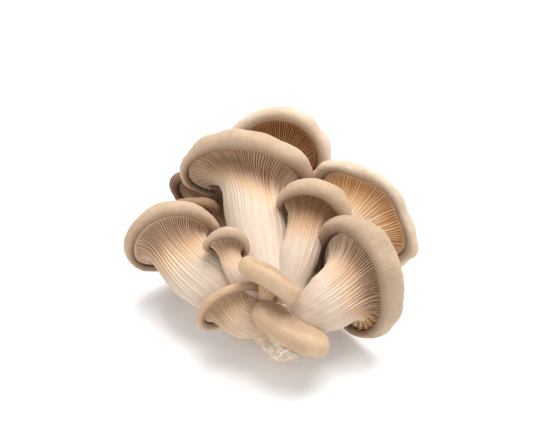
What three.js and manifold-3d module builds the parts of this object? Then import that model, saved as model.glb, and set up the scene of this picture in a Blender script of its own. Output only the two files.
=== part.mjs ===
// A cluster of oyster mushrooms, cut at its base and lying on its back.
// Twelve mushrooms grow from one torn base. Each is one closed skin that runs from the foot of the
// stem, up the stem, out over the gills, round the in-rolled margin and across the cap's top.
//
// The cluster is drawn as it is looked at: x to the right, y up, z towards the viewer, in millimetres,
// with the heart where the stems meet near the origin. A group then leans it back onto the table.
import * as THREE from 'three';
import { mergeVertices } from 'three/addons/utils/BufferGeometryUtils.js';
import Module from 'manifold-3d';

const wasm = await Module();
wasm.setup();

const { Vector3 } = THREE;
const DEG = Math.PI / 180;

// How the cluster lies
const LEAN = 45 * DEG;                 // the cluster's front is turned up by this angle
const HEART = [1, -5.5, 13];            // where the cluster's own origin comes to lie, z above the table
const GAP = 0.35;                      // left between neighbours that touch
const FINEST = 0.04;                   // shorter edges than this are drawn together
const FLOOR_BOX = 400;                 // side of the block that cuts the flat resting spots

// Gills
const GILL_DEPTH = 1.3;                // crest to groove is twice this, larger than life
const GILL_ROWS = 5;                   // rows of points along the flare, neck to margin
const STEM_ROWS = 3;
const LIP_ROWS = 5;
const TOP_ROWS = 3;
const LIP_START = -20 * DEG;           // the margin's roll begins up inside the groove
const LIP_TURN = 290 * DEG;            // and runs round to the cap's top

// Colours
const SKIN = '#d3b78f';
const TORN = '#e9e0cf';

// Every mushroom: the cap's centre, the way its top faces and its long axis, its half width and its
// reach on the near and far side; the margin's roll; the stem's foot, bend and neck and their radii.
// back flattens the stem's far half. Waves are [times round, height, turned by degrees]: stemWave
// swells the neck on one side, and flareWave moves the place where the gills leave the stem.
const COMMON = {
  lobes: [], lift: [], lipWave: [], stemWave: [], flareWave: [], oval: 1.05,
  flareStart: 0.45, flareEnd: 0.3, flareAngle: 18,
  dome: 6, stemFrom: 0, ribsFrom: 0.55, back: 0.7, gills: 28,
};

const MUSHROOMS = {
  front: {
    centre: [2.5, 1.8, 20], faces: [0.45, 0.78, 0.42], wide: [0.87, -0.50, 0],
    half: 12.8, near: 3.8, far: 4.6, roll: 3.8, hang: 4.8, lobes: [[2, 0.06, 20]],
    lift: [[2, 0.5, 0]], lipWave: [[1, 0.1, 0]], dome: 6.6,
    foot: [-2, -1, 2], bend: [0, -4, 8], neck: [2, -1.5, 17.5],
    footRadius: 5.5, neckRadius: 3.2, back: 0.5, flareFrom: 0.6, flareAngle: -10, gills: 18,
  },
  small_upper_front: {
    centre: [-6.5, 26, 24], faces: [0.52, 0.83, 0.10], wide: [0.79, -0.61, 0],
    half: 10.6, near: 4, far: 4, roll: 3.1, hang: 4.4, lift: [[2, 0.6, 180]], dome: 6,
    foot: [-7.5, 13, 6], bend: [-9, 16, 14], neck: [-7.5, 22.5, 22.5],
    footRadius: 4.5, neckRadius: 3, back: 0.5, flareFrom: 0.6, flareAngle: -10, gills: 16,
  },
  lower_left: {
    centre: [-25.5, 12, 10], faces: [-0.38, 0.64, -0.66], wide: [0.96, 0.28, 0],
    half: 14.5, near: 10.5, far: 7, roll: 2.2, hang: 2.4,
    foot: [-4.5, 3, 2], bend: [-13, 4.5, 13], neck: [-24, 9, 11],
    footRadius: 7, neckRadius: 9, flareFrom: 0.7, oval: 1.25, gills: 20,
  },
  small_left: {
    centre: [-28, 42, 6], faces: [0.05, 0.82, -0.57], wide: [0.93, -0.36, 0],
    half: 8.2, near: 8, far: 5, roll: 2, hang: 2.3, lift: [[2, 1.2, 180]],
    lipWave: [[2, 0.15, 180]],
    foot: [-10.5, 16.5, 6], bend: [-22, 22.5, 13], neck: [-27, 39, 8.5],
    footRadius: 5.5, neckRadius: 5, flareFrom: 0.6, gills: 16,
  },
  right_front: {
    centre: [34.8, 24.5, 2], faces: [0.74, 0.29, -0.61], wide: [0.37, -0.93, 0],
    half: 24.5, near: 22, far: 21, roll: 3.7, hang: 5,
    lobes: [[2, 0.07, -90]], lipWave: [[1, 0.45, 110], [2, 0.12, 135]],
    flareWave: [[1, 0.1, -30], [2, 0.08, -60]], stemWave: [[1, 0.16, 190]],
    foot: [7.5, 4.5, 6], bend: [19.5, 11, 14], neck: [33, 20, 6],
    footRadius: 10, neckRadius: 15.5, flareFrom: 0.66,
  },
  right_middle: {
    centre: [15, 60, -14], faces: [0.30, 0.78, -0.54], wide: [0.92, -0.39, 0],
    half: 14.6, near: 12.5, far: 10, roll: 3.1, hang: 3.6,
    lift: [[2, 2.2, 180]], lipWave: [[1, 0.3, 60], [2, 0.15, 180]], flareAngle: 30,
    foot: [1.5, 13, 0], bend: [5, 31, 2], neck: [14.5, 54.5, -10],
    footRadius: 8, neckRadius: 10, flareFrom: 0.6, gills: 22,
  },
  left: {
    centre: [-56.4, 42.6, -18], faces: [-0.20, 0.66, -0.72], wide: [0.97, 0.25, 0],
    half: 20.5, near: 19, far: 14, roll: 2.75, hang: 3,
    lift: [[2, 1.5, 180]], lipWave: [[1, 0.27, 70], [2, 0.12, 180]], flareWave: [[1, 0.12, 215]],
    foot: [-10.5, 9.5, -2], bend: [-28, 19, 6], neck: [-53, 39.5, -11],
    footRadius: 9.5, neckRadius: 14, flareFrom: 0.62, oval: 1.25, ribsFrom: 0.3, gills: 26,
    stemWave: [[1, 0.12, 200]],
  },
  tall_middle: {
    centre: [-19.4, 80, -40], faces: [0.03, 0.86, -0.51], wide: [1, -0.17, 0],
    half: 29.5, near: 22, far: 21, roll: 3.5, hang: 3.8,
    lobes: [[3, 0.03, 200]], lift: [[2, 1.5, 180], [2, 2.6, -90]],
    lipWave: [[1, 0.4, 62], [2, 0.13, 180]], flareWave: [[1, 0.2, 200]],
    foot: [-4.5, 14, -2], bend: [-12, 37, -10], neck: [-14.5, 74, -35],
    footRadius: 13, neckRadius: 16.5, flareFrom: 0.72, flareStart: 0.5,
  },
  small_left_back: {
    centre: [-46, 60, -34], faces: [-0.10, 0.84, -0.54], wide: [0.78, -0.63, 0],
    half: 8.5, near: 5, far: 5, roll: 2.6, hang: 2.8,
    foot: [-10.5, 11.5, -10], bend: [-29, 28, -22], neck: [-45.5, 57, -32],
    footRadius: 4, neckRadius: 3.5, flareFrom: 0.65, gills: 14,
  },
  right_back: {
    centre: [40.5, 56, -42], faces: [0.48, 0.46, -0.75], wide: [0.68, -0.73, 0],
    half: 29, near: 21, far: 14, roll: 3.1, hang: 3.4,
    lobes: [[6, 0.04, 198], [1, 0.07, 80]], lift: [[2, 2.5, 180]],
    foot: [2.5, 12, -12], bend: [16, 30, -22], neck: [36, 54, -38],
    footRadius: 7, neckRadius: 11, flareFrom: 0.6,
  },
  left_back: {
    centre: [-39, 64.3, -60], faces: [0.35, 0.62, -0.70], wide: [0.80, -0.60, 0],
    half: 20, near: 11, far: 12, roll: 2.8, hang: 3,
    foot: [-7.5, 11, -14], bend: [-22.5, 32, -32], neck: [-39, 58, -54],
    footRadius: 6, neckRadius: 7, flareFrom: 0.65, gills: 18,
  },
  top_back: {
    centre: [-1, 93.5, -76.5], faces: [0.22, 0.66, -0.72], wide: [0.93, -0.36, 0],
    half: 21, near: 21, far: 17, roll: 4.2, hang: 4.6, lift: [[2, 2, 180]],
    foot: [-1.5, 14, -14], bend: [-1, 40, -44], neck: [-3, 83, -70],
    footRadius: 7, neckRadius: 9, flareFrom: 0.68, gills: 24,
  },
};

// The torn base that the stems grow from, and the flap of it that shows under the front mushroom
const BASE = { centre: [-1, 4, -4], reach: [18, 16, 14], facets: 4, tear: 0.06 };
const FLAP = { centre: [0.5, -7.5, 9], reach: [9.5, 6.5, 7], facets: 3, tear: 0.1 };

const vec = (list) => new Vector3(...list);
const wave = (angle, terms) => terms.reduce(
  (sum, [times, height, turned]) => sum + height * Math.cos(times * angle - turned * DEG), 0);

function bezier(points, t) {
  const u = 1 - t;
  const weights = points.length === 3
    ? [u * u, 2 * u * t, t * t]
    : [u * u * u, 3 * t * u * u, 3 * t * t * u, t * t * t];
  return points.reduce((sum, p, i) => sum.addScaledVector(p, weights[i]), new Vector3());
}

// The cap's own axes: up through its top, along its width, and towards its near edge
function capAxes(m) {
  const up = vec(m.faces).normalize();
  const along = vec(m.wide);
  along.addScaledVector(up, -along.dot(up)).normalize();
  return { up, along, toNear: new Vector3().crossVectors(along, up) };
}

// Where the gills end and the margin begins, at one angle round the cap
function rimPoint(m, axes, angle) {
  const grow = 1 + wave(angle, m.lobes);
  const reach = Math.sin(angle) > 0 ? m.near : m.far;
  return vec(m.centre)
    .addScaledVector(axes.along, grow * m.half * Math.cos(angle))
    .addScaledVector(axes.toNear, grow * reach * Math.sin(angle))
    .addScaledVector(axes.up, wave(angle, m.lift));
}

// A point of the stem's skin at a share of the way from foot to neck, and the stem's direction there
function stemPoint(m, axes, angle, share) {
  const [foot, bend, neck] = [m.foot, m.bend, m.neck].map(vec);
  const axis = new Vector3().addScaledVector(bend.clone().sub(foot), 1 - share)
    .addScaledVector(neck.clone().sub(bend), share).normalize();
  const across = axes.along.clone().addScaledVector(axis, -axis.dot(axes.along)).normalize();
  const deep = new Vector3().crossVectors(across, axis);
  const radius = (1 + share * wave(angle, m.stemWave))
    * (m.footRadius + (m.neckRadius - m.footRadius) * share * share * (3 - 2 * share));
  const flat = Math.sin(angle) > 0 ? 1 : m.back;
  const point = bezier([foot, bend, neck], share)
    .addScaledVector(across, radius * m.oval * Math.cos(angle))
    .addScaledVector(deep, radius * flat / m.oval * Math.sin(angle));
  return { point, axis };
}

// The smooth skin. row runs 1 to 2 up the stem, 2 to 3 over the gills, 3 to 4 round the margin and
// 4 to 5 over the cap's top.
function skinPoint(m, axes, angle, row) {
  const flareFrom = m.flareFrom + wave(angle, m.flareWave);
  if (row <= 2) {
    const share = m.stemFrom + (row - 1) * (flareFrom - m.stemFrom);
    return stemPoint(m, axes, angle, share).point;
  }
  const step = 1e-3;
  const rim = rimPoint(m, axes, angle);
  const round = rimPoint(m, axes, angle + step).sub(rimPoint(m, axes, angle - step)).normalize();
  const up = axes.up.clone().addScaledVector(round, -round.dot(axes.up)).normalize();
  const out = new Vector3().crossVectors(up, round);
  if (row <= 3) {
    const { point, axis } = stemPoint(m, axes, angle, flareFrom);
    const gap = point.distanceTo(rim);
    const arrive = out.clone().multiplyScalar(Math.cos(m.flareAngle * DEG))
      .addScaledVector(up, Math.sin(m.flareAngle * DEG));
    return bezier([
      point,
      point.clone().addScaledVector(axis, m.flareStart * gap),
      rim.clone().addScaledVector(arrive, -m.flareEnd * gap),
      rim,
    ], row - 2);
  }
  if (row <= 4) {
    const turn = LIP_START + LIP_TURN * (row - 3);
    const swell = 1 + wave(angle, m.lipWave);
    return rim
      .addScaledVector(out, swell * m.roll * (1 - Math.cos(turn)))
      .addScaledVector(up, swell * m.hang * (0.1 - Math.sin(turn)));
  }
  const swell = 1 + wave(angle, m.lipWave);
  const edge = rim.addScaledVector(out, swell * m.roll).addScaledVector(up, swell * m.hang * 1.1);
  const summit = vec(m.centre).addScaledVector(axes.up, m.dome);
  const away = edge.clone().sub(summit);
  away.addScaledVector(axes.up, -away.dot(axes.up)).normalize();
  const gap = edge.distanceTo(summit);
  const inward = Math.min(0.4 * gap, 0.6 * (Math.min(m.near, m.far) + m.roll));
  return bezier([
    edge,
    edge.clone().addScaledVector(out, -inward),
    summit.clone().addScaledVector(away, 0.45 * gap),
    summit,
  ], row - 4);
}

function skinNormal(m, axes, angle, row) {
  const step = 1e-3;
  const part = Math.min(Math.floor(row), 4);
  const low = Math.max(row - step, part);
  const high = Math.min(row + step, part + 1);
  const up = skinPoint(m, axes, angle, high).sub(skinPoint(m, axes, angle, low + 1e-9));
  const round = skinPoint(m, axes, angle + step, row).sub(skinPoint(m, axes, angle - step, row));
  return up.cross(round).normalize();
}

// How high the gills stand at one row: none on the lower stem, most on the flare, less at the margin
function gillHeight(m, row) {
  const ribs = 1 + m.ribsFrom;
  if (row <= ribs || row > 3) return 0;
  const rise = Math.min(1, (row - ribs) / (2.25 - ribs));
  const fall = Math.min(1, (3.15 - row) / 0.5);
  return GILL_DEPTH * Math.min(1, m.half / 18) * rise * fall;
}

// The rows of points of one mushroom, each with its place, its count round and its gill height
function rowsOf(m) {
  const rows = [];
  const ribs = 1 + m.ribsFrom;
  for (let i = 0; i < STEM_ROWS; i += 1) {
    rows.push({ row: 1 + (ribs - 1) * i / (STEM_ROWS - 1), double: false });
  }
  for (let i = 1; i <= GILL_ROWS; i += 1) {
    rows.push({ row: ribs + (2.97 - ribs) * i / GILL_ROWS, double: true });
  }
  for (let i = 0; i <= LIP_ROWS; i += 1) {
    rows.push({ row: Math.max(3.02, 3 + i / LIP_ROWS), double: false });
  }
  for (let i = 1; i < TOP_ROWS; i += 1) rows.push({ row: 4 + i / TOP_ROWS, double: false });
  return rows;
}

// One mushroom's closed skin. grown swells it for cutting a neighbour clear of it.
function mushroomGeometry(m, grown = 0) {
  const axes = capAxes(m);
  const plain = grown > 0;
  const count = m.gills;
  const foot = stemPoint(m, axes, 0, m.stemFrom);
  const positions = [];
  const faces = [];
  const rings = rowsOf(m).map(({ row, double }) => {
    const round = double ? 2 * count : count;
    const start = positions.length / 3;
    for (let i = 0; i < round; i += 1) {
      const angle = 2 * Math.PI * i / round;
      const height = gillHeight(m, row);
      const lift = plain ? height + grown : (i % 2 ? -height : height);
      const point = skinPoint(m, axes, angle, row);
      if (lift) point.addScaledVector(skinNormal(m, axes, angle, row), lift);
      if (row === 1) point.addScaledVector(foot.axis, -grown);
      positions.push(point.x, point.y, point.z);
    }
    return { start, round };
  });
  for (let r = 0; r + 1 < rings.length; r += 1) {
    const [low, high] = [rings[r], rings[r + 1]];
    const a = (i) => low.start + i % low.round;
    const b = (i) => high.start + i % high.round;
    if (low.round === high.round) {
      for (let i = 0; i < low.round; i += 1) {
        faces.push(a(i), b(i), a(i + 1), b(i), b(i + 1), a(i + 1));
      }
    } else if (low.round < high.round) {
      for (let i = 0; i < low.round; i += 1) {
        faces.push(a(i), b(2 * i), b(2 * i + 1), a(i), b(2 * i + 1), a(i + 1));
        faces.push(a(i + 1), b(2 * i + 1), b(2 * i + 2));
      }
    } else {
      for (let i = 0; i < high.round; i += 1) {
        faces.push(a(2 * i), b(i), a(2 * i + 1), a(2 * i + 1), b(i), b(i + 1));
        faces.push(a(2 * i + 1), b(i + 1), a(2 * i + 2));
      }
    }
  }
  const summit = vec(m.centre).addScaledVector(axes.up, m.dome + grown);
  const footIndex = positions.length / 3;
  const heel = bezier([m.foot, m.bend, m.neck].map(vec), m.stemFrom).addScaledVector(foot.axis, -grown);
  positions.push(heel.x, heel.y, heel.z, summit.x, summit.y, summit.z);
  const first = rings[0];
  const last = rings[rings.length - 1];
  for (let i = 0; i < first.round; i += 1) {
    faces.push(footIndex, first.start + i, first.start + (i + 1) % first.round);
  }
  for (let i = 0; i < last.round; i += 1) {
    faces.push(last.start + i, footIndex + 1, last.start + (i + 1) % last.round);
  }
  const geometry = new THREE.BufferGeometry();
  geometry.setAttribute('position', new THREE.Float32BufferAttribute(positions, 3));
  geometry.setIndex(faces);
  return geometry;
}

// A lump with a torn, uneven skin
function lumpGeometry(lump, grown = 0) {
  const ball = new THREE.IcosahedronGeometry(1, lump.facets);
  ball.deleteAttribute('normal');
  ball.deleteAttribute('uv');
  const geometry = mergeVertices(ball, 1e-5);
  const place = geometry.getAttribute('position');
  for (let i = 0; i < place.count; i += 1) {
    const p = new Vector3().fromBufferAttribute(place, i);
    const rough = Math.sin(7 * p.x + 1) * Math.sin(6 * p.y + 2) + Math.sin(9 * p.z + 4 * p.x) * 0.6;
    const swell = 1 + lump.tear * rough;
    place.setXYZ(i, ...lump.reach.map((reach, k) => lump.centre[k]
      + (reach * swell + grown) * p.getComponent(k)));
  }
  return geometry;
}

function toSolid(geometry) {
  return new wasm.Manifold(new wasm.Mesh({
    numProp: 3,
    vertProperties: new Float32Array(geometry.getAttribute('position').array),
    triVerts: new Uint32Array(geometry.getIndex().array),
  }));
}

function toGeometry(solid) {
  const mesh = solid.getMesh();
  const geometry = new THREE.BufferGeometry();
  geometry.setAttribute('position', new THREE.Float32BufferAttribute(mesh.vertProperties, 3));
  geometry.setIndex(new THREE.Uint32BufferAttribute(mesh.triVerts, 1));
  return geometry;
}

// The largest of the pieces that a cut leaves, with the shortest edges of the cut drawn together
function largest(solid) {
  const neat = solid.simplify(FINEST);
  return neat.decompose().reduce((best, piece) => (piece.volume() > best.volume() ? piece : best));
}

// The table, as a block in the cluster's own leaning frame
function tableSolid(lying) {
  const block = new THREE.BoxGeometry(FLOOR_BOX, FLOOR_BOX, FLOOR_BOX);
  block.deleteAttribute('normal');
  block.deleteAttribute('uv');
  const merged = mergeVertices(block, 1e-5);
  merged.translate(0, 0, -FLOOR_BOX / 2);
  lying.updateMatrix();
  merged.applyMatrix4(lying.matrix.clone().invert());
  return toSolid(merged);
}

function skinMesh(name, solid, colour) {
  const material = new THREE.MeshStandardMaterial({ color: colour, roughness: 0.75, metalness: 0 });
  const mesh = new THREE.Mesh(toGeometry(solid), material);
  mesh.name = name;
  return mesh;
}

const lying = new THREE.Group();
lying.rotation.x = LEAN;
lying.position.set(...HEART);

// The front ones keep their whole shape, and each one behind is cut clear of those before it.
const table = tableSolid(lying);
const baseSolid = (grown) => toSolid(lumpGeometry(BASE, grown)).add(toSolid(lumpGeometry(FLAP, grown)));
let before = baseSolid(GAP);
lying.add(skinMesh('base', largest(baseSolid(0).subtract(table)), TORN));
for (const [name, shape] of Object.entries(MUSHROOMS)) {
  const m = { ...COMMON, ...shape };
  const solid = largest(toSolid(mushroomGeometry(m)).subtract(before).subtract(table));
  lying.add(skinMesh(name, solid, SKIN));
  before = before.add(toSolid(mushroomGeometry(m, GAP))).add(solid);
}

const cluster = new THREE.Group();
cluster.add(lying);

export default cluster;
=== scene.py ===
# %% [markdown]
# # A cluster of oyster mushrooms
#
# Twelve mushrooms grow from one torn base, and the whole cluster lies on its back on a pale table.
# Each mushroom is one closed skin that runs from the foot of its stem, up the stem, out over the gills,
# round the rolled margin and across the top of the cap. So each is modelled as one sheet, a grid whose
# one direction goes round the mushroom and whose other direction goes along that path. A formula gives
# each grid point its place, which keeps every gill a real ridge that follows the skin.

import math

import bmesh
import bpy
import numpy as np
from mathutils import Matrix, Vector


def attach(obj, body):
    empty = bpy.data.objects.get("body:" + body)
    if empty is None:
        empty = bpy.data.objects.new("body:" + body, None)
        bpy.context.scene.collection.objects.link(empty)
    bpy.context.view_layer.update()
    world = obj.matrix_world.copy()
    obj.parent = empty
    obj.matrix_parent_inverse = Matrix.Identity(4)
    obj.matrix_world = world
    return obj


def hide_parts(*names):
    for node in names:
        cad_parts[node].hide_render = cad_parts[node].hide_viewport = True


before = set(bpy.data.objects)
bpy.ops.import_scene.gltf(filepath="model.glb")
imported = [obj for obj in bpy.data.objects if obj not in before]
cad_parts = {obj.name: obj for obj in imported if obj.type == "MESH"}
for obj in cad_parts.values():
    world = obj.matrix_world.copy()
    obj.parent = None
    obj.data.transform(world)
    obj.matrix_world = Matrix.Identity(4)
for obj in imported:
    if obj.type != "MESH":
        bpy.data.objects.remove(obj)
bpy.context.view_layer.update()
print("nodes:", ", ".join(sorted(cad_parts)))

# %% [markdown]
# ## The frame of the cluster
#
# The cluster is easiest to describe as it is looked at: x to the right, y up and z towards the viewer,
# in millimetres, with the heart where the stems meet near the origin. It is then leaned back onto the
# table. The camera looks straight at this frame, so it leans by the same angle.

# %% The lean, and the camera
MM = 0.001
LEAN = math.radians(45)
HEART = np.array([1.0, -5.5, 13.0])
LOOK_AT = (-4.0, 55.0)
DISTANCE = 650.0
LENS = 85.0
SENSOR = 36.0


def to_table(points):
    """Cluster millimetres to the table's metres."""
    x, y, z = np.moveaxis(np.asarray(points, float), -1, 0)
    c, s = math.cos(LEAN), math.sin(LEAN)
    leaned = np.stack([x, y * c - z * s, y * s + z * c], axis=-1)
    return (leaned + HEART) * MM


def add_camera():
    data = bpy.data.cameras.new("camera")
    data.lens = LENS
    data.sensor_width = SENSOR
    data.clip_start = 0.01
    data.clip_end = 20
    camera = bpy.data.objects.new("camera", data)
    camera.location = to_table((*LOOK_AT, DISTANCE))
    camera.rotation_euler = (LEAN, 0, 0)
    bpy.context.scene.collection.objects.link(camera)
    bpy.context.scene.camera = camera
    return camera


camera = add_camera()
print("camera at", [round(v, 3) for v in camera.location])

# %% [markdown]
# ## The measurements of each mushroom
#
# A mushroom is given by its cap's centre, the way the cap's top faces, the direction of its long axis,
# its half width, and its reach on the near and the far side. The margin rolls inwards by `roll` and
# hangs down by `hang`. The stem is one curve from `foot` past `bend` to `neck`. The gills leave it at
# the share `flare_from` of its length and arrive at the margin at `flare_angle` degrees. Waves are
# (times round, height, turned by degrees). The same values make the solids of the part.

# %% Values that most mushrooms share
COMMON = dict(
    lobes=(), lift=(), lip_wave=(), stem_wave=(), flare_wave=(), oval=1.05, flare_start=0.45,
    flare_end=0.3, flare_angle=18, flare_tilt=(), dome=6, back=0.7,
)

# %% The twelve mushrooms
MUSHROOMS = dict(
    front=dict(
        centre=(2.5, 1.8, 20), faces=(0.45, 0.78, 0.42), wide=(0.87, -0.50, 0),
        half=12.8, near=3.8, far=4.6, roll=3.8, hang=4.8, lobes=((2, 0.06, 20),),
        lift=((2, 0.5, 0),), lip_wave=((1, 0.1, 0),), dome=6.6,
        foot=(-2, -1, 2), bend=(0, -4, 8), neck=(2, -1.5, 17.5),
        foot_radius=5.5, neck_radius=3.2, back=0.5, flare_from=0.6, flare_angle=-10,
    ),
    small_upper_front=dict(
        centre=(-6.5, 26, 24), faces=(0.52, 0.83, 0.10), wide=(0.79, -0.61, 0),
        half=10.6, near=4, far=4, roll=3.1, hang=4.4, lift=((2, 0.6, 180),), dome=6,
        foot=(-7.5, 13, 6), bend=(-9, 16, 14), neck=(-7.5, 22.5, 22.5),
        foot_radius=4.5, neck_radius=3, back=0.5, flare_from=0.6, flare_angle=-10,
    ),
    lower_left=dict(
        centre=(-25.5, 12, 10), faces=(-0.38, 0.64, -0.66), wide=(0.96, 0.28, 0),
        half=14.5, near=10.5, far=7, roll=2.2, hang=2.4,
        foot=(-4.5, 3, 2), bend=(-13, 4.5, 13), neck=(-24, 9, 11),
        foot_radius=7, neck_radius=9, flare_from=0.7, oval=1.25,
    ),
    small_left=dict(
        centre=(-28, 42, 6), faces=(0.05, 0.82, -0.57), wide=(0.93, -0.36, 0),
        half=8.2, near=8, far=5, roll=2, hang=2.3, lift=((2, 1.2, 180),),
        lip_wave=((2, 0.15, 180),),
        foot=(-10.5, 16.5, 6), bend=(-22, 22.5, 13), neck=(-27, 39, 8.5),
        foot_radius=5.5, neck_radius=5, flare_from=0.6,
    ),
    right_front=dict(
        centre=(34.8, 24.5, 2), faces=(0.74, 0.29, -0.61), wide=(0.37, -0.93, 0),
        half=24.5, near=22, far=21, roll=3.7, hang=5,
        lobes=((2, 0.07, -90),), lip_wave=((1, 0.45, 110), (2, 0.12, 135)),
        flare_wave=((1, 0.1, -30), (2, 0.08, -60)), stem_wave=((1, 0.16, 190),),
        foot=(7.5, 4.5, 6), bend=(19.5, 11, 14), neck=(33, 20, 6),
        foot_radius=10, neck_radius=15.5, flare_from=0.66,
    ),
    right_middle=dict(
        centre=(15, 60, -14), faces=(0.30, 0.78, -0.54), wide=(0.92, -0.39, 0),
        half=14.6, near=12.5, far=10, roll=3.1, hang=3.6,
        lift=((2, 2.2, 180),), lip_wave=((1, 0.3, 60), (2, 0.15, 180)), flare_angle=30,
        foot=(1.5, 13, 0), bend=(5, 31, 2), neck=(14.5, 54.5, -10),
        foot_radius=8, neck_radius=10, flare_from=0.6,
    ),
    left=dict(
        centre=(-56.4, 42.6, -18), faces=(-0.20, 0.66, -0.72), wide=(0.97, 0.25, 0),
        half=20.5, near=19, far=14, roll=2.75, hang=3,
        lift=((2, 1.5, 180),), lip_wave=((1, 0.27, 70), (2, 0.12, 180)), flare_wave=((1, 0.12, 215),),
        foot=(-10.5, 9.5, -2), bend=(-28, 19, 6), neck=(-53, 39.5, -11),
        foot_radius=9.5, neck_radius=14, flare_from=0.62, oval=1.25, stem_wave=((1, 0.12, 200),),
    ),
    tall_middle=dict(
        centre=(-19.4, 80, -40), faces=(0.03, 0.86, -0.51), wide=(1, -0.17, 0),
        half=29.5, near=22, far=21, roll=3.5, hang=3.8,
        lobes=((3, 0.03, 200),), lift=((2, 1.5, 180), (2, 2.6, -90)),
        lip_wave=((1, 0.4, 62), (2, 0.13, 180)), flare_wave=((1, 0.2, 200),),
        foot=(-4.5, 14, -2), bend=(-12, 37, -10), neck=(-14.5, 74, -35),
        foot_radius=13, neck_radius=16.5, flare_from=0.72, flare_start=0.5,
    ),
    small_left_back=dict(
        centre=(-46, 60, -34), faces=(-0.10, 0.84, -0.54), wide=(0.78, -0.63, 0),
        half=8.5, near=5, far=5, roll=2.6, hang=2.8,
        foot=(-10.5, 11.5, -10), bend=(-29, 28, -22), neck=(-45.5, 57, -32),
        foot_radius=4, neck_radius=3.5, flare_from=0.65,
    ),
    right_back=dict(
        centre=(40.5, 56, -42), faces=(0.48, 0.46, -0.75), wide=(0.68, -0.73, 0),
        half=29, near=21, far=14, roll=3.1, hang=3.4,
        lobes=((6, 0.04, 198), (1, 0.07, 80)), lift=((2, 2.5, 180),),
        foot=(2.5, 12, -12), bend=(16, 30, -22), neck=(36, 54, -38),
        foot_radius=7, neck_radius=11, flare_from=0.6,
    ),
    left_back=dict(
        centre=(-39, 64.3, -60), faces=(0.35, 0.62, -0.70), wide=(0.80, -0.60, 0),
        half=20, near=11, far=12, roll=2.8, hang=3,
        foot=(-7.5, 11, -14), bend=(-22.5, 32, -32), neck=(-39, 58, -54),
        foot_radius=6, neck_radius=7, flare_from=0.65,
    ),
    top_back=dict(
        centre=(-1, 93.5, -76.5), faces=(0.22, 0.66, -0.72), wide=(0.93, -0.36, 0),
        half=21, near=21, far=17, roll=4.2, hang=4.6, lift=((2, 2, 180),),
        foot=(-1.5, 14, -14), bend=(-1, 40, -44), neck=(-3, 83, -70),
        foot_radius=7, neck_radius=9, flare_from=0.68,
    ),
)

# %% How each one is finished: gills round it, their wander, waves on its margin, and its colours
PLAIN_LOOK = dict(
    gills=72, depth=1.2, stem_ribs=1.6, later=0, ragged=0.14, wander=1.0, wobble=0.4,
    ruffle=(0, 1, 0, 0), skin="tan", stem="pale", inside="cream", gill_colour_and_shade_from=0.2, gill_colour_and_shade_to=0.95,
)
LOOKS = dict(
    front=dict(gills=40, depth=0.5, wobble=0.5, skin="honey"),
    small_upper_front=dict(
        gills=36, depth=0.5, stem_ribs=1.2, skin="honey", stem="warm", inside="brown",
    ),
    lower_left=dict(
        gills=76, depth=0.8, stem_ribs=1.1, ragged=0.2, wander=1.6, skin="honey", stem="warm",
        inside="soft",
    ),
    small_left=dict(gills=48, depth=0.7, stem_ribs=1.4),
    right_front=dict(
        gills=108, depth=1.4, stem_ribs=1.2, ragged=0.26, wander=1.9, wobble=0.6,
        ruffle=(0, 38, 1.3, 6), skin="grey",
    ),
    right_middle=dict(gills=72, stem_ribs=1.5, inside="brown"),
    left=dict(
        gills=96, depth=1.0, stem_ribs=1.2, ragged=0.26, wander=2.0, gill_colour_and_shade_from=0.35,
        flare_tilt=((1, -26, 200), (0, -14, 0)),
    ),
    tall_middle=dict(
        gills=112, depth=1.4, stem_ribs=1.45, ragged=0.26, wobble=0.5, flare_end=0.42,
        flare_tilt=((1, -34, 190), (0, -14, 0)),
    ),
    # Painted half shade: a darker skin and inside for a small cap that sits behind others.
    small_left_back=dict(gills=36, depth=0.4, skin="painted_half_shade", stem="warm", inside="shaded"),
    # Painted glow in the gills of this backlit cap.
    right_back=dict(
        gills=120, depth=1.1, later=0.18, ragged=0.26, wander=1.9, wobble=0.8, skin="pale",
        inside="painted_backlight", gill_colour_and_shade_from=0.6, gill_colour_and_shade_to=1.0,
    ),
    # Painted shade: a darker skin and inside for a cap in the shade of the caps in front.
    left_back=dict(gills=72, depth=0.4, skin="shaded", stem="warm", inside="shaded"),
    top_back=dict(gills=84, ragged=0.24, wander=1.6, wobble=0.7, skin="pale", inside="painted_dim_backlight"),
)
print(len(MUSHROOMS), "mushrooms")

# %% [markdown]
# ## The smooth skin
#
# The gills leave the stem along the stem's own direction and arrive at the margin nearly level, so a
# Bezier curve joins the two at each angle. The margin is part of an ellipse that starts up inside the
# groove, hangs down, and comes round to the cap's top. Whole rows are worked out at once with arrays.

# %% Small vector helpers


def unit(v):
    v = np.asarray(v, float)
    return v / np.linalg.norm(v, axis=-1, keepdims=True)


def wave(angle, terms):
    total = np.zeros_like(angle)
    for times, height, turned in terms:
        total = total + height * np.cos(times * angle - math.radians(turned))
    return total


def bezier(points, t):
    a, b, c, d = points
    u = 1 - t
    return u**3 * a + 3 * t * u**2 * b + 3 * t**2 * u * c + t**3 * d


def smooth(low, high, value):
    t = np.clip((value - low) / (high - low), 0, 1)
    return t * t * (3 - 2 * t)


# %% The cap's axes, its rim and its stem


def cap_axes(m):
    """Up through the cap's top, along its width, and towards its near edge."""
    up = unit(m["faces"])
    along = np.array(m["wide"], float)
    along = unit(along - along @ up * up)
    return up, along, np.cross(along, up)


def rim(m, angle):
    """Where the gills end and the margin begins."""
    up, along, to_near = cap_axes(m)
    grow = 1 + wave(angle, m["lobes"])[..., None]
    c, s = np.cos(angle)[..., None], np.sin(angle)[..., None]
    reach = np.where(s > 0, m["near"], m["far"])
    flat = grow * (m["half"] * c * along + reach * s * to_near)
    return np.array(m["centre"]) + flat + up * wave(angle, m["lift"])[..., None]


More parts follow.
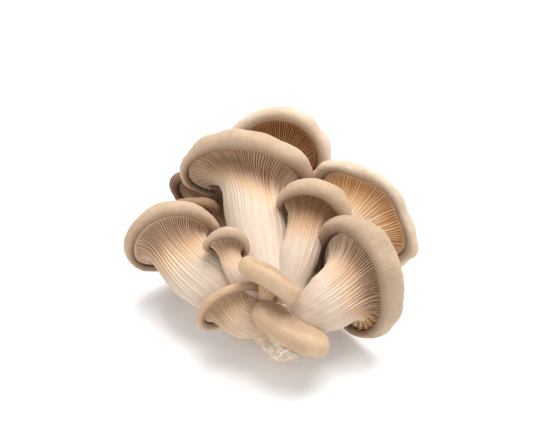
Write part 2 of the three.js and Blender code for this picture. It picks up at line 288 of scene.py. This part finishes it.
def stem(m, angle, share):
    """The stem's skin at a share of the way from foot to neck, and the stem's direction there."""
    along = cap_axes(m)[1]
    foot, bend, neck = (np.array(m[k], float) for k in ("foot", "bend", "neck"))
    share = np.broadcast_to(share, angle.shape)[..., None]
    axis = unit((1 - share) * (bend - foot) + share * (neck - bend))
    across = unit(along - (axis @ along)[..., None] * axis)
    deep = np.cross(across, axis)
    swell = share * share * (3 - 2 * share)
    radius = m["foot_radius"] + (m["neck_radius"] - m["foot_radius"]) * swell
    radius = radius * (1 + share * wave(angle, m["stem_wave"])[..., None])
    middle = (1 - share) ** 2 * foot + 2 * share * (1 - share) * bend + share * share * neck
    c, s = np.cos(angle)[..., None], np.sin(angle)[..., None]
    flat = np.where(s > 0, 1, m["back"])
    return middle + radius * (m["oval"] * c * across + flat * s / m["oval"] * deep), axis


# %% One row of the skin
LIP_START = math.radians(-20)
LIP_TURN = math.radians(290)
STEP = 1e-3


def skin_row(m, angle, row):
    """row: 0 to 1 the foot's disc, 1 to 2 the stem, 2 to 3 the gills, 3 to 4 the margin, 4 to 5 the top."""
    up = cap_axes(m)[0]
    flare_from = m["flare_from"] + wave(angle, m["flare_wave"])
    if row <= 1:
        ring = stem(m, angle, 0)[0]
        heel = np.array(m["foot"], float)
        return heel + row * (ring - heel)
    if row <= 2:
        return stem(m, angle, (row - 1) * flare_from)[0]
    edge = rim(m, angle)
    tangent = unit(rim(m, angle + STEP) - rim(m, angle - STEP))
    level = unit(up - (tangent @ up)[..., None] * tangent)
    out = np.cross(level, tangent)
    if row <= 3:
        start, axis = stem(m, angle, flare_from)
        gap = np.linalg.norm(edge - start, axis=-1, keepdims=True)
        slope = np.radians(m["flare_angle"] + wave(angle, m["flare_tilt"]))[..., None]
        arrive = out * np.cos(slope) + level * np.sin(slope)
        pull = start + m["flare_start"] * gap * axis
        return bezier((start, pull, edge - m["flare_end"] * gap * arrive, edge), row - 2)
    swell = (1 + wave(angle, m["lip_wave"]))[..., None]
    if row <= 4:
        turn = LIP_START + LIP_TURN * (row - 3)
        aside = m["roll"] * (1 - math.cos(turn))
        return edge + swell * (aside * out + m["hang"] * (0.1 - math.sin(turn)) * level)
    shoulder = edge + swell * (m["roll"] * out + 1.1 * m["hang"] * level)
    summit = np.array(m["centre"]) + m["dome"] * up
    away = shoulder - summit
    away = unit(away - (away @ up)[..., None] * up)
    gap = np.linalg.norm(shoulder - summit, axis=-1, keepdims=True)
    inward = np.minimum(0.4 * gap, 0.6 * (min(m["near"], m["far"]) + m["roll"]))
    pull = shoulder - inward * out
    return bezier((shoulder, pull, summit + 0.45 * gap * away, summit + 0 * away), row - 4)


# %% [markdown]
# ## Gills, ribs and small unevenness
#
# Under a real cap the gills stand close together at the margin, but only one in four reaches the stem,
# where it runs down as a soft rib. One in four starts half way out, and the other two start near the
# margin. Each gill starts a little earlier or later than its neighbours and stands a little higher or
# lower. They wander to the sides, and the stem and the cap have slow waves of half a millimetre.

# %% Ripples over a surface


def ripples(points, length, rng, count=7):
    """A smooth unevenness between about -1 and 1, with waves of about the given length."""
    total = np.zeros(points.shape[:-1])
    for _ in range(count):
        direction = unit(rng.normal(size=3)) * 2 * np.pi / (length * rng.uniform(0.7, 1.5))
        total = total + np.sin(points @ direction + rng.uniform(0, 2 * np.pi))
    return total / math.sqrt(count)


# %% One set of gills
LONG_GILLS = dict(every=4, first=0, full=2.1)
HALF_GILLS = dict(every=4, first=2, starts=1.9, full=2.4)
SHORT_GILLS = dict(every=2, first=1, starts=2.3, full=2.7)


def gill_set(which, place, row, width, m, rng):
    """How far each point stands up on its nearest gill of the set, and how far that set has risen."""
    count = m["gills"] // which["every"]
    late = m["ragged"] * rng.uniform(-1, 1, count)
    tall = rng.uniform(0.7, 1.1, count)
    nearest = np.round((place - which["first"]) / which["every"])
    off = np.abs(place - which["first"] - nearest * which["every"])
    own = nearest.astype(int) % count
    risen = smooth(which["starts"] + late[own], which["full"] + late[own], row)
    blade = np.clip(1 - off / width, 0, 1) ** 1.2
    return tall[own] * risen * blade, smooth(which["starts"], which["full"], row)


def gill_relief(m, around, row, rng):
    """How high each point stands, 0 in a gap and 1 on a crest, and how much the gills have risen."""
    place = around * m["gills"]
    row = row - m["later"] * smooth(2.0, 2.5, row)
    halves = smooth(HALF_GILLS["starts"], HALF_GILLS["full"], row)
    shorts = smooth(SHORT_GILLS["starts"], SHORT_GILLS["full"], row)
    stem_ribs = dict(LONG_GILLS, starts=m["stem_ribs"])
    long_blades, longs = gill_set(stem_ribs, place, row, 1.1 - 0.6 * shorts, m, rng)
    half_blades, _ = gill_set(HALF_GILLS, place, row, 1 - 0.5 * shorts, m, rng)
    short_blades, _ = gill_set(SHORT_GILLS, place, row, 0.5, m, rng)
    crest = np.maximum(np.maximum(long_blades, half_blades), short_blades)
    fade = 1 - smooth(2.93, 3.02, row + m["later"])
    packed = 0.35 * longs + 0.3 * halves + 0.35 * shorts
    return crest, longs * fade, packed * fade


# %% [markdown]
# ## Building one mushroom
#
# `bmesh.ops.create_grid` makes the sheet with its UV map, and every grid point is then moved to its
# place. The two sides of the sheet meet at the seam, and its first and last rows shrink to a point at
# the foot and at the top, so merging doubles closes it. Six numbers are kept on every point for the
# materials: how much it is cap skin, how far round the margin it is, how far in on the cap's top, how
# far out along the gills, how deep between two gills, and how much it belongs to a curled frill.

# %% Rows and columns of the sheet
POINTS_PER_GILL = 6
ROW_PLAN = ((0.0, 1.0, 2), (1.0, 2.0, 18), (2.0, 3.0, 34), (3.02, 4.0, 18), (4.0, 5.0, 12))


def all_rows():
    rows = [0.0]
    for low, high, count in ROW_PLAN:
        rows.extend(low + (high - low) * (i + 1) / count for i in range(count))
    return np.array(rows)


ROWS = all_rows()
print(len(ROWS), "rows from foot to top")

# %% How far the gills wander, and how uneven the skin is
WANDER_SHARE = 0.006
WANDER_TIMES_ROUND = (5, 9, 16, 23, 37)
STEM_WAVE = dict(height=0.35, length=16)
CAP_WAVE_LENGTH = 17
FINE_WAVE = dict(height=0.08, length=4.5)


def gill_wander(m, around, row, rng):
    """Sideways wander of the gills, as a share of a turn, fading on the cap's top."""
    shift = np.zeros_like(around)
    for times in WANDER_TIMES_ROUND:
        phase = rng.uniform(0, 2 * np.pi)
        twist = rng.uniform(-6, 6)
        shift = shift + np.sin(2 * np.pi * times * around + phase + twist * (row - 2)) / times
    share = smooth(1.0, 2.0, row) * (1 - smooth(3.0, 4.5, row))
    return WANDER_SHARE * m["wander"] * share * shift


def unevenness(m, place, rng):
    """Slow waves on the stem and the cap, and larger ones that bend the margin, in millimetres."""
    rows = ROWS[:, None]
    on_stem = smooth(1.0, 1.3, rows) * (1 - smooth(1.9, 2.3, rows))
    on_cap = smooth(3.15, 3.6, rows) * (1 - smooth(4.7, 5.0, rows))
    stem_waves = STEM_WAVE["height"] * on_stem * ripples(place, STEM_WAVE["length"], rng)
    cap_waves = m["wobble"] * on_cap * ripples(place, CAP_WAVE_LENGTH, rng)
    fine = FINE_WAVE["height"] * (on_stem + on_cap) * ripples(place, FINE_WAVE["length"], rng)
    return stem_waves + cap_waves + fine


def ruffle(m, around):
    """A stretch of the margin whose gills are curled into a frill, in millimetres."""
    middle, half, height, waves = m["ruffle"]
    rows = ROWS[:, None]
    off = (around * 360 - middle + 180) % 360 - 180
    share = (1 - smooth(0.4 * half, half, np.abs(off))) * smooth(2.4, 2.8, rows)
    share = share * (1 - smooth(3.0, 3.2, rows))
    curl = np.sin(np.pi * waves * off / half + 9 * (rows - 2.4))
    return height * share * curl, share if height else 0 * share


# %% The shape of one mushroom as an array of points
RIB_SHARE = 0.22


def mushroom_points(m, rng):
    columns = m["gills"] * POINTS_PER_GILL
    around = np.arange(columns) / columns
    place = np.zeros((len(ROWS), columns, 3))
    crest = np.zeros((len(ROWS), columns))
    risen = np.zeros((len(ROWS), columns))
    packed = np.zeros((len(ROWS), columns))
    seed = int(rng.integers(1 << 30))
    for i, row in enumerate(ROWS):
        turn = around + gill_wander(m, around, row, np.random.default_rng(seed))
        place[i] = skin_row(m, 2 * np.pi * turn, row)
        crest[i], risen[i], packed[i] = gill_relief(m, around, row, np.random.default_rng(seed + 1))
    rise = np.gradient(place, axis=0)
    turn = np.roll(place, -1, axis=1) - np.roll(place, 1, axis=1)
    normal = unit(np.cross(rise, turn) + 1e-12)
    ribs = RIB_SHARE + (1 - RIB_SHARE) * smooth(1.8, 2.6, ROWS[:, None])
    height = m["depth"] * ribs * risen * (crest - 0.5) + unevenness(m, place, rng)
    curl, frill = ruffle(m, around)
    return place + (height + curl)[..., None] * normal, packed * (1 - crest), frill


# %% From points to a closed mesh
VALUES = ("skin", "margin", "top", "outward", "between", "frill")


def point_values(between, frill):
    rows = np.repeat(ROWS[:, None], between.shape[1], axis=1)
    return {
        "skin": smooth(3.0, 3.08, rows),
        "margin": smooth(3.02, 4.0, rows),
        "top": smooth(3.8, 4.7, rows),
        "outward": smooth(1.75, 2.95, rows),
        # How deep in a gap between two gills, where the materials paint shade.
        "between": between,
        "frill": frill,
    }


def sheet_mesh(name, place, values):
    columns = place.shape[1]
    rows = place.shape[0]
    bm = bmesh.new()
    bm.loops.layers.uv.new("OFBake")
    bmesh.ops.create_grid(bm, x_segments=columns, y_segments=rows - 1, size=1, calc_uvs=True)
    layers = {k: bm.verts.layers.float.new(k) for k in VALUES}
    table = to_table(place)
    table[..., 2] = np.maximum(table[..., 2], 0)
    for v in bm.verts:
        c = round((v.co.x + 1) / 2 * columns) % columns
        r = round((v.co.y + 1) / 2 * (rows - 1))
        v.co = table[r, c]
        for key, layer in layers.items():
            v[layer] = values[key][r, c]
    bmesh.ops.remove_doubles(bm, verts=bm.verts, dist=1e-7)
    bmesh.ops.recalc_face_normals(bm, faces=bm.faces)
    for face in bm.faces:
        face.smooth = True
    mesh = bpy.data.meshes.new(name)
    bm.to_mesh(mesh)
    bm.free()
    return mesh


# %% [markdown]
# ## Finishes
#
# The cap skin is a matt tan with browner streaks towards the cap's middle, and painted shade darkens it
# down in the groove. The stem is a pinkish cream and the gills are cream on their crests; the gaps
# between them carry painted brown shade, and on the backlit caps a painted amber glow stands for light
# coming through a thin cap. Light enters mushroom flesh a little way, so the finish has some subsurface
# scattering. Mottling and fine fibres are used in more than one material, so each is a node group with
# its own inputs.

# %% Helpers for node trees


def node(tree, kind, **settings):
    made = tree.nodes.new(kind)
    for key, value in settings.items():
        setattr(made, key, value)
    return made


def feed(tree, socket, value):
    """Link another node's output to the socket, or set a plain value on it."""
    if hasattr(value, "links"):
        tree.links.new(value, socket)
    else:
        socket.default_value = value


def mix_colour(tree, factor, first, second):
    made = node(tree, "ShaderNodeMix", data_type="RGBA", clamp_factor=True)
    feed(tree, made.inputs[0], factor)
    feed(tree, made.inputs[6], first)
    feed(tree, made.inputs[7], second)
    return made.outputs[2]


def maths(tree, kind, *values):
    made = node(tree, "ShaderNodeMath", operation=kind)
    for socket, value in zip(made.inputs, values):
        feed(tree, socket, value)
    return made.outputs[0]


def spread(tree, value, low, high):
    """The share of the way from low to high, between 0 and 1."""
    made = node(tree, "ShaderNodeMapRange")
    made.inputs["From Min"].default_value = low
    made.inputs["From Max"].default_value = high
    tree.links.new(value, made.inputs["Value"])
    return made.outputs["Result"]


def colour(red, green, blue):
    """A display colour, 0 to 255, as the linear values that a node takes."""
    linear = [(v / 255) ** 2.2 for v in (red, green, blue)]
    return (*linear, 1.0)


# %% Mottling, as a node group


def new_group(name, inputs, outputs):
    tree = bpy.data.node_groups.new(name, "ShaderNodeTree")
    for label, kind, value in inputs:
        socket = tree.interface.new_socket(name=label, in_out="INPUT", socket_type=kind)
        socket.default_value = value
    for label, kind in outputs:
        tree.interface.new_socket(name=label, in_out="OUTPUT", socket_type=kind)
    return tree, node(tree, "NodeGroupInput"), node(tree, "NodeGroupOutput")


def mottling_group():
    tree, source, result = new_group(
        "mottling",
        (
            ("Colour", "NodeSocketColor", (0.5, 0.5, 0.5, 1)),
            ("Patch Colour", "NodeSocketColor", (0.4, 0.4, 0.4, 1)),
            ("Patches per Metre", "NodeSocketFloat", 60.0),
            ("Amount", "NodeSocketFloat", 0.5),
        ),
        (("Colour", "NodeSocketColor"), ("Pattern", "NodeSocketFloat")),
    )
    place = node(tree, "ShaderNodeTexCoord").outputs["Object"]
    broad = node(tree, "ShaderNodeTexNoise")
    fine = node(tree, "ShaderNodeTexNoise")
    tree.links.new(place, broad.inputs["Vector"])
    tree.links.new(place, fine.inputs["Vector"])
    tree.links.new(source.outputs["Patches per Metre"], broad.inputs["Scale"])
    broad.inputs["Detail"].default_value = 3
    tree.links.new(maths(tree, "MULTIPLY", source.outputs["Patches per Metre"], 9.0), fine.inputs["Scale"])
    fine.inputs["Detail"].default_value = 4
    most = maths(tree, "MULTIPLY", broad.outputs["Fac"], 0.65)
    both = maths(tree, "MULTIPLY_ADD", fine.outputs["Fac"], 0.35, most)
    share = maths(tree, "MULTIPLY", spread(tree, both, 0.35, 0.65), source.outputs["Amount"])
    mixed = mix_colour(tree, share, source.outputs["Colour"], source.outputs["Patch Colour"])
    tree.links.new(mixed, result.inputs["Colour"])
    tree.links.new(both, result.inputs["Pattern"])
    return tree


MOTTLING = mottling_group()

# %% Fine fibres, as a node group


def fibre_group():
    tree, source, result = new_group(
        "fine_fibres",
        (
            ("Threads Round", "NodeSocketFloat", 220.0),
            ("Breaks Along", "NodeSocketFloat", 6.0),
        ),
        (("Height", "NodeSocketFloat"),),
    )
    sheet = node(tree, "ShaderNodeUVMap", uv_map="OFBake").outputs["UV"]
    scale = node(tree, "ShaderNodeCombineXYZ")
    tree.links.new(source.outputs["Threads Round"], scale.inputs[0])
    tree.links.new(source.outputs["Breaks Along"], scale.inputs[1])
    stretch = node(tree, "ShaderNodeVectorMath", operation="MULTIPLY")
    tree.links.new(sheet, stretch.inputs[0])
    tree.links.new(scale.outputs[0], stretch.inputs[1])
    threads = node(tree, "ShaderNodeTexNoise")
    threads.inputs["Scale"].default_value = 1.0
    threads.inputs["Detail"].default_value = 3
    tree.links.new(stretch.outputs[0], threads.inputs["Vector"])
    tree.links.new(threads.outputs["Fac"], result.inputs["Height"])
    return tree


FIBRES = fibre_group()
print("node groups:", ", ".join(g.name for g in bpy.data.node_groups))

# %% Colours of the skins and of the insides
# Each skin's groove colour is painted shade down in the groove under the rolled margin.
SKINS = dict(
    tan=dict(
        outer=colour(201, 176, 151), patch=colour(181, 150, 120), middle=colour(152, 120, 92),
        groove=colour(74, 52, 36),
    ),
    pale=dict(
        outer=colour(220, 203, 181), patch=colour(198, 172, 143), middle=colour(174, 144, 114),
        groove=colour(84, 62, 44),
    ),
    honey=dict(
        outer=colour(206, 178, 149), patch=colour(187, 152, 118), middle=colour(154, 121, 91),
        groove=colour(74, 52, 34),
    ),
    grey=dict(
        outer=colour(190, 167, 142), patch=colour(171, 142, 114), middle=colour(146, 117, 91),
        groove=colour(70, 50, 35),
    ),
    # A darker copy of the tan, painted half shade for a small cap that sits in shade behind others.
    painted_half_shade=dict(
        outer=colour(172, 140, 112), patch=colour(150, 118, 90), middle=colour(130, 98, 74),
        groove=colour(66, 46, 34),
    ),
    # A darker copy of the tan, painted shade for a cap in the shade of the caps in front.
    shaded=dict(
        outer=colour(146, 114, 90), patch=colour(124, 92, 70), middle=colour(108, 78, 58),
        groove=colour(56, 38, 28),
    ),
)
# Each gap colour is painted shade between the gills, or a painted glow on the backlit caps.
INSIDES = dict(
    cream=dict(crest=colour(250, 224, 196), warm=colour(222, 170, 114), gap=colour(142, 88, 46)),
    soft=dict(crest=colour(232, 204, 174), warm=colour(208, 168, 128), gap=colour(164, 120, 84)),
    # Painted glow: the orange of light coming through a thin, backlit cap.
    painted_backlight=dict(crest=colour(244, 212, 172), warm=colour(236, 194, 140), gap=colour(190, 124, 64)),
    brown=dict(crest=colour(214, 174, 136), warm=colour(198, 146, 100), gap=colour(120, 76, 46)),
    # Painted glow of light coming through a backlit cap, dimmer, with deeper painted shade in the gaps.
    painted_dim_backlight=dict(crest=colour(206, 156, 108), warm=colour(180, 120, 70), gap=colour(106, 58, 26)),
    # A darker copy of the gills, painted shade for an underside in the shade of the caps in front.
    shaded=dict(crest=colour(158, 124, 98), warm=colour(146, 112, 86), gap=colour(112, 82, 62)),
)
STEMS = dict(
    pale=dict(skin=colour(218, 203, 187), streak=colour(208, 182, 157)),
    warm=dict(skin=colour(218, 194, 170), streak=colour(196, 164, 134)),
)
FRILL = colour(226, 178, 118)

# %% Helpers for the materials


def attribute(tree, name):
    return node(tree, "ShaderNodeAttribute", attribute_name=name).outputs["Fac"]


def group(tree, which, **values):
    made = node(tree, "ShaderNodeGroup", node_tree=which)
    for key, value in values.items():
        feed(tree, made.inputs[key.replace("_", " ")], value)
    return made


def let_light_in(shader, reach):
    """Light enters the flesh by up to two millimetres, red the farthest."""
    shader.inputs["Subsurface Weight"].default_value = 0.2
    shader.inputs["Subsurface Radius"].default_value = reach
    shader.inputs["Subsurface Scale"].default_value = 0.002


def roughen(tree, shader, height, strength, depth):
    bump = node(tree, "ShaderNodeBump")
    bump.inputs["Strength"].default_value = strength
    bump.inputs["Distance"].default_value = depth
    tree.links.new(height, bump.inputs["Height"])
    tree.links.new(bump.outputs["Normal"], shader.inputs["Normal"])


# %% The colours of the cap's skin, the stem and the gills


def skin_colour(tree, skin, mottled, streaks):
    """Painted shade dark in the groove, then a greyish painted half shade on the margin's inner side, then
    the full tan, with browner streaks on the cap's top.
    """
    share = maths(tree, "MULTIPLY", attribute(tree, "top"), spread(tree, streaks, 0.3, 0.75))
    streaked = mix_colour(tree, maths(tree, "MULTIPLY", share, 0.9), mottled, skin["middle"])
    margin = attribute(tree, "margin")
    # Painted shade in the groove: the full groove colour where the margin starts, and a greyish painted
    # half shade over its inner side.
    inner_painted_shade = mix_colour(tree, 0.62, mottled, skin["groove"])
    edge = mix_colour(tree, spread(tree, margin, 0.0, 0.1), skin["groove"], inner_painted_shade)
    return mix_colour(tree, spread(tree, margin, 0.05, 0.52), edge, streaked)


def inside_colour(tree, m, streaks):
    """Pinkish white on the stem, and gills with a warm tan and then painted brown shade between them,
    deepening towards the margin; on the backlit caps the gaps carry a painted amber glow instead.
    """
    inside = INSIDES[m["inside"]]
    stem_skin, streak = STEMS[m["stem"]]["skin"], STEMS[m["stem"]]["streak"]
    outward = spread(tree, attribute(tree, "outward"), m["gill_colour_and_shade_from"], m["gill_colour_and_shade_to"])
    streaked = mix_colour(tree, spread(tree, streaks, 0.45, 0.7), stem_skin, streak)
    crest = mix_colour(tree, outward, streaked, inside["crest"])
    warm = mix_colour(tree, spread(tree, outward, 0.0, 0.25), streak, inside["warm"])
    # Painted shade between the gills: the gap colour, deeper towards the margin, fills what the between
    # value marks.
    gap = mix_colour(tree, spread(tree, outward, 0.3, 1.0), warm, inside["gap"])
    gills = mix_colour(tree, attribute(tree, "between"), crest, gap)
    return mix_colour(tree, maths(tree, "MULTIPLY", attribute(tree, "frill"), 0.7), gills, FRILL)


# %% The material of a mushroom


def mushroom_material(name, m):
    skin = SKINS[m["skin"]]
    material = bpy.data.materials.new(name)
    material.use_nodes = True
    tree = material.node_tree
    shader = tree.nodes["Principled BSDF"]
    fibres = group(tree, FIBRES, Threads_Round=260.0, Breaks_Along=9.0)
    mottled = group(tree, MOTTLING, Colour=skin["outer"], Patch_Colour=skin["patch"],
                    Patches_per_Metre=55.0, Amount=0.8)
    gills = inside_colour(tree, m, fibres.outputs["Height"])
    cap = skin_colour(tree, skin, mottled.outputs["Colour"], fibres.outputs["Height"])
    whole = mix_colour(tree, attribute(tree, "skin"), gills, cap)
    tree.links.new(whole, shader.inputs["Base Color"])
    let_light_in(shader, (1.0, 0.5, 0.28))
    shader.inputs["Specular IOR Level"].default_value = 0.35
    rough = node(tree, "ShaderNodeMapRange")
    rough.inputs["To Min"].default_value = 0.5
    rough.inputs["To Max"].default_value = 0.72
    tree.links.new(mottled.outputs["Pattern"], rough.inputs["Value"])
    tree.links.new(rough.outputs["Result"], shader.inputs["Roughness"])
    roughen(tree, shader, fibres.outputs["Height"], strength=0.16, depth=0.0004)
    return material


def add_piece(name, mesh, material, stands_for):
    piece = bpy.data.objects.new(name, mesh)
    bpy.context.scene.collection.objects.link(piece)
    mesh.materials.append(material)
    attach(piece, "root")
    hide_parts(stands_for)
    return piece


def triangles(mesh):
    return sum(len(p.vertices) - 2 for p in mesh.polygons)


total = 0
for number, (name, own) in enumerate(MUSHROOMS.items()):
    m = {**COMMON, **own, **PLAIN_LOOK, **LOOKS[name]}
    place, between, frill = mushroom_points(m, np.random.default_rng(100 + number))
    mesh = sheet_mesh(name + "_skin", place, point_values(between, frill))
    material = mushroom_material(name + "_flesh", m)
    add_piece(name + "_skin", mesh, material, name)
    total += triangles(mesh)
    print(name, triangles(mesh), "triangles")
print("mushrooms:", total, "triangles")

# %% [markdown]
# ## The torn base
#
# All stems grow from one butt of firm flesh, which was torn from its bed. Under the front mushroom a
# torn flap of white felt shows. Both start as icospheres, and waves make them uneven. Short frayed
# threads, which are thin cones, stand out of the flap.

# %% The two lumps
BASE = dict(centre=(-1, 4, -4), reach=(18, 16, 14), tear=0.06, detail=6)
FLAP = dict(centre=(0.5, -7.5, 9), reach=(9.5, 6.5, 7), tear=0.1, detail=6)
COARSE_FELT = dict(height=0.3, length=5)
FINE_FELT = dict(height=0.2, length=2.2)


def lump_points(lump, directions):
    """Places on a torn, uneven lump in the directions given."""
    x, y, z = directions.T
    rough = np.sin(7 * x + 1) * np.sin(6 * y + 2) + 0.6 * np.sin(9 * z + 4 * x)
    swell = 1 + lump["tear"] * rough
    place = np.array(lump["centre"]) + directions * np.array(lump["reach"]) * swell[:, None]
    rng = np.random.default_rng(7)
    coarse = COARSE_FELT["height"] * ripples(place, COARSE_FELT["length"], rng)
    fine = FINE_FELT["height"] * ripples(place, FINE_FELT["length"], rng)
    return place + (coarse + fine)[:, None] * directions


def add_lump(bm, lump):
    made = bmesh.ops.create_icosphere(bm, subdivisions=lump["detail"], radius=1, calc_uvs=True)
    directions = np.array([v.co for v in made["verts"]])
    place = to_table(lump_points(lump, directions))
    place[:, 2] = np.maximum(place[:, 2], 0)
    for v, co in zip(made["verts"], place):
        v.co = co


# %% The frayed threads
THREADS = 300
THREAD_WIDTH = 0.00012
THREAD_LENGTHS = (0.001, 0.0034)


def add_threads(bm, lump):
    """Thin cones that stand out of the lump's lower front and droop."""
    rng = np.random.default_rng(11)
    directions = unit(rng.normal(size=(THREADS, 3)) * (0.8, 0.5, 0.6) + (0, -0.6, 0.5))
    roots = to_table(lump_points(lump, directions))
    for root, direction in zip(roots, directions):
        droop = unit(direction + rng.normal(size=3) * 0.7 + (0, -0.4, 0))
        tip = to_table(droop) - to_table((0, 0, 0))
        length = rng.uniform(*THREAD_LENGTHS)
        turned = Vector(unit(tip)).to_track_quat("Z", "Y").to_matrix().to_4x4()
        middle = Vector(root) + Vector(unit(tip)) * length * 0.35
        bmesh.ops.create_cone(
            bm, cap_ends=True, segments=5, radius1=THREAD_WIDTH, radius2=THREAD_WIDTH * 0.3,
            depth=length, matrix=Matrix.Translation(middle) @ turned, calc_uvs=True)


def lump_mesh(name, lump, threads):
    bm = bmesh.new()
    bm.loops.layers.uv.new("OFBake")
    add_lump(bm, lump)
    if threads:
        add_threads(bm, lump)
    bmesh.ops.recalc_face_normals(bm, faces=bm.faces)
    for face in bm.faces:
        face.smooth = True
    mesh = bpy.data.meshes.new(name)
    bm.to_mesh(mesh)
    bm.free()
    return mesh


def base_material(name, skin, patch):
    material = bpy.data.materials.new(name)
    material.use_nodes = True
    tree = material.node_tree
    shader = tree.nodes["Principled BSDF"]
    mottled = group(tree, MOTTLING, Colour=skin, Patch_Colour=patch, Patches_per_Metre=160.0, Amount=0.8)
    tree.links.new(mottled.outputs["Colour"], shader.inputs["Base Color"])
    shader.inputs["Roughness"].default_value = 0.9
    let_light_in(shader, (1.0, 0.6, 0.4))
    roughen(tree, shader, mottled.outputs["Pattern"], strength=0.6, depth=0.0008)
    return material


butt_flesh = base_material("butt_flesh", colour(236, 216, 194), colour(208, 176, 146))
felt = base_material("felt", colour(246, 232, 216), colour(224, 200, 174))
butt = add_piece("butt", lump_mesh("butt", BASE, False), butt_flesh, "base")
flap = add_piece("torn_flap", lump_mesh("torn_flap", FLAP, True), felt, "base")
print("base:", triangles(butt.data) + triangles(flap.data), "triangles")

# %% [markdown]
# ## Table and light
#
# The table is a plain white sheet. The main light is large and stands high above and a little behind
# the cluster, so the rolled margins are bright on top and soft shadows fall towards the viewer. A
# bright sky, with a weak light in front, fills the stems, which face the viewer.

# %% The table
TABLE_HALF_WIDTH = 4.0


def add_table():
    bm = bmesh.new()
    bmesh.ops.create_grid(bm, x_segments=1, y_segments=1, size=TABLE_HALF_WIDTH)
    mesh = bpy.data.meshes.new("table")
    bm.to_mesh(mesh)
    bm.free()
    table = bpy.data.objects.new("table", mesh)
    bpy.context.scene.collection.objects.link(table)
    material = bpy.data.materials.new("table_white")
    material.use_nodes = True
    shader = material.node_tree.nodes["Principled BSDF"]
    shader.inputs["Base Color"].default_value = (1.0, 1.0, 1.0, 1)
    shader.inputs["Roughness"].default_value = 0.8
    mesh.materials.append(material)


add_table()

# %% The lights
MIDDLE = (0.0, 0.05, 0.03)
SKY_STRENGTH = 0.74


def add_light(name, place, aim, size, power):
    data = bpy.data.lights.new(name, "AREA")
    data.shape = "DISK"
    data.size = size
    data.energy = power
    light = bpy.data.objects.new(name, data)
    light.location = place
    direction = np.array(aim) - np.array(place)
    flat = math.hypot(direction[0], direction[1])
    turn = math.atan2(direction[1], direction[0]) - math.pi / 2
    light.rotation_euler = (math.atan2(flat, -direction[2]), 0, turn)
    bpy.context.scene.collection.objects.link(light)


add_light("key", (0.16, 0.40, 1.0), MIDDLE, 0.9, 12)
add_light("fill", (0.1, -0.9, 0.6), MIDDLE, 0.8, 0.6)

world = bpy.data.worlds.new("soft_sky")
world.use_nodes = True
world.node_tree.nodes["Background"].inputs["Color"].default_value = (1, 1, 1, 1)
world.node_tree.nodes["Background"].inputs["Strength"].default_value = SKY_STRENGTH
bpy.context.scene.world = world
bpy.context.scene.view_settings.view_transform = "Standard"
